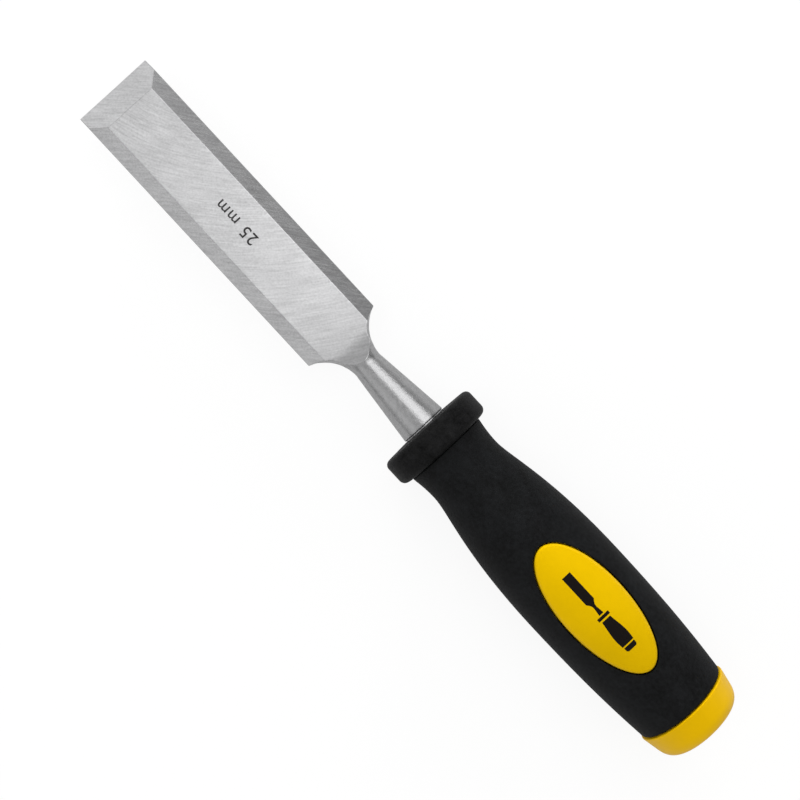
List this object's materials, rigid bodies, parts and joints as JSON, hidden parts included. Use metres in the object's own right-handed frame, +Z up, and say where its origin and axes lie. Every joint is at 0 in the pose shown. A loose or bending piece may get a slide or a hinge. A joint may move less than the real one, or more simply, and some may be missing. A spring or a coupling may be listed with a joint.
{
  "type": "bench chisel",
  "caption": "Bevel-edged bench chisel: flat steel blade with a ground cutting edge and round neck, black collar, waisted black grip with yellow oval inlays and a yellow striking cap.",
  "frame": {"origin": "centre of the flat striking face, on the handle's axis", "axes": "+X along the tool, out of the striking face; the cutting edge is at -X. +Z up, out of the bevelled side of the blade; the blade's flat back faces -Z. +Y across the blade's width"},
  "size_m": [0.25, 0.0334, 0.034],
  "materials": {
    "steel": "ground alloy steel with fine arcs of grinding marks, satin on the neck",
    "collar_plastic": "smooth black moulded plastic, satin",
    "grip_rubber": "soft black overmoulding with a fine matte texture",
    "core_plastic": "yellow moulded plastic, satin gloss",
    "cap_plastic": "yellow moulded plastic, satin gloss"
  },
  "bodies": {
    "root": {"blade": "steel", "collar": "collar_plastic", "grip_sleeve": "grip_rubber", "handle_core": "core_plastic", "striking_cap": "cap_plastic"}
  },
  "joints": []
}
